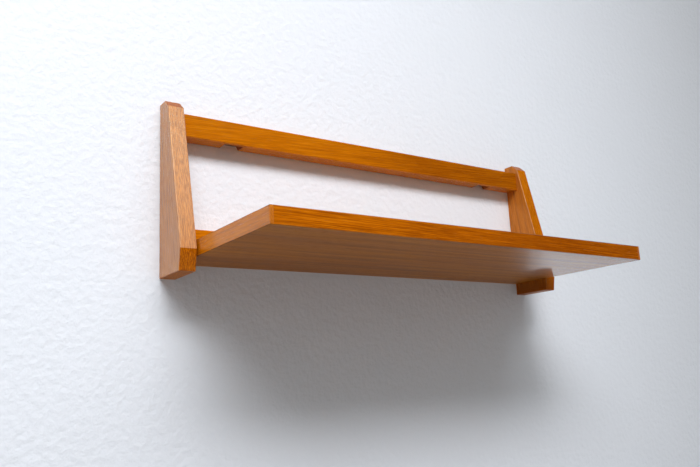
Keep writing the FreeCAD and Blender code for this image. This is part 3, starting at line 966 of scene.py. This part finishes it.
def seen_rays(tree):
    """1 for rays from the camera and from mirroring or clear surfaces, 0 for light."""
    camera_ray = tree.node("ShaderNodeLightPath", None, output="Is Camera Ray")
    glossy_ray = tree.node("ShaderNodeLightPath", None, output="Is Glossy Ray")
    glass_ray = tree.node("ShaderNodeLightPath", None, output="Is Transmission Ray")
    return camera_ray.math("MAXIMUM", glossy_ray.math("MAXIMUM", glass_ray))


def make_floor(stage):
    """A wide floor, which looks pale also where little light falls on it."""
    material, tree = new_material("pale_floor")
    lit = tree.node("ShaderNodeBsdfDiffuse", None, Color=(*stage.floor_colour, 1.0))
    glow = tree.node("ShaderNodeEmission", None, (*stage.floor_colour, 1.0), 1.0)
    surface = tree.node("ShaderNodeMixShader", None, seen_rays(tree) * FLOOR_GLOW, lit, glow)
    tree.node("ShaderNodeOutputMaterial", None, Surface=surface)
    flat_sheet(
        "floor",
        (-2 * WALL_HALF_WIDTH, -2 * WALL_HALF_WIDTH, stage.floor_level),
        (2 * WALL_HALF_WIDTH, 2 * WALL_HALF_WIDTH, stage.floor_level),
        material,
    )


def aim(lamp, target):
    """Turns a lamp so that it shines at a point."""
    direction = Vector(target) - lamp.location
    lamp.rotation_mode = "QUATERNION"
    lamp.rotation_quaternion = direction.to_track_quat("-Z", "Y")


def add_lamp(name, power, size, place, target):
    """A rectangular lamp that the camera doesn't see."""
    light = bpy.data.lights.new(name, "AREA")
    light.shape = "RECTANGLE"
    light.size, light.size_y = size
    light.energy = power
    lamp = bpy.data.objects.new(name, light)
    bpy.context.scene.collection.objects.link(lamp)
    lamp.location = place
    lamp.visible_camera = False
    aim(lamp, target)
    return lamp


def make_lamps(stage):
    """A long lamp high in front, a small one on the right, and one behind for the back."""
    place = (
        -KEY_DISTANCE * math.cos(KEY_ELEVATION) * math.sin(KEY_TURN),
        -KEY_DISTANCE * math.cos(KEY_ELEVATION) * math.cos(KEY_TURN),
        KEY_DISTANCE * math.sin(KEY_ELEVATION),
    )
    key = add_lamp("key", stage.key_power, KEY_SIZE, place, KEY_TARGET)
    key.data.spread = KEY_SPREAD
    add_lamp("window", stage.window_power, WINDOW_SIZE, WINDOW_PLACE, WINDOW_TARGET)
    add_lamp("back", BACK_POWER, BACK_SIZE, BACK_PLACE, BACK_TARGET)


def make_world(scene, stage):
    """The rest of the room: pale to look at, but dark in front and above where mirrored."""
    world = bpy.data.worlds.new("room")
    scene.world = world
    tree = ShaderTree(world)
    direction = tree.node("ShaderNodeTexCoord", None, output="Generated")
    upward = tree.part(direction, "Z")
    seen = tree.blend(tree.step(upward, *ROOM_PALING), ROOM_BELOW, ROOM_ABOVE)
    in_front = tree.step(tree.part(direction, "Y"), *DARK_IN_FRONT)
    dark_share = in_front.math("MAXIMUM", tree.step(upward, *DARK_ABOVE, 0.0, 0.8))
    mirrored = tree.blend(dark_share, seen, ROOM_DARK)
    glossy_ray = tree.node("ShaderNodeLightPath", None, output="Is Glossy Ray")
    backdrop = tree.blend(glossy_ray, seen, mirrored)
    dim = tree.node("ShaderNodeBackground", None, ROOM_TINT, stage.room_light)
    pale = tree.node("ShaderNodeBackground", None, backdrop, 1.0)
    surface = tree.node("ShaderNodeMixShader", None, seen_rays(tree), dim, pale)
    tree.node("ShaderNodeOutputWorld", None, Surface=surface)


def make_camera(scene, stage):
    """The photograph's viewpoint, below and to the left of the shelf."""
    right, up = Vector(PICTURE_RIGHT), Vector(PICTURE_UP)
    back = right.cross(up)
    data = bpy.data.cameras.new("camera")
    data.lens = stage.focal_length
    data.sensor_width = FILM_WIDTH
    camera = bpy.data.objects.new("camera", data)
    scene.collection.objects.link(camera)
    turn = Matrix((right, up, back)).transposed().to_4x4()
    camera.matrix_world = Matrix.Translation(stage.camera_place) @ turn
    scene.camera = camera


class SHELF_PT_panel(bpy.types.Panel):
    """Lists the steps and the settings of the shelf."""

    bl_idname = "SHELF_PT_panel"
    bl_label = "Wall Shelf"
    bl_space_type = "VIEW_3D"
    bl_region_type = "UI"
    bl_category = "Shelf"

    def draw(self, context):
        for operator in OPERATORS:
            self.layout.operator(operator.bl_idname)
        for group in (context.scene.shelf_finish, context.scene.shelf_stage):
            for name in group.__annotations__:
                self.layout.prop(group, name)


OPERATORS = (
    SHELF_OT_uprights,
    SHELF_OT_rails,
    SHELF_OT_board,
    SHELF_OT_dowels,
    SHELF_OT_hangers,
    SHELF_OT_stage,
)
CLASSES = (ShelfFinish, ShelfStage, *OPERATORS, SHELF_PT_panel)


def register():
    for item in CLASSES:
        bpy.utils.register_class(item)
    bpy.types.Scene.shelf_finish = bpy.props.PointerProperty(type=ShelfFinish)
    bpy.types.Scene.shelf_stage = bpy.props.PointerProperty(type=ShelfStage)


def unregister():
    del bpy.types.Scene.shelf_stage
    del bpy.types.Scene.shelf_finish
    for item in reversed(CLASSES):
        bpy.utils.unregister_class(item)


def main():
    register()
    bpy.ops.shelf.uprights()
    bpy.ops.shelf.rails()
    bpy.ops.shelf.board()
    bpy.ops.shelf.dowels()
    bpy.ops.shelf.hangers()
    bpy.ops.shelf.stage()


if __name__ == "__main__":
    main()
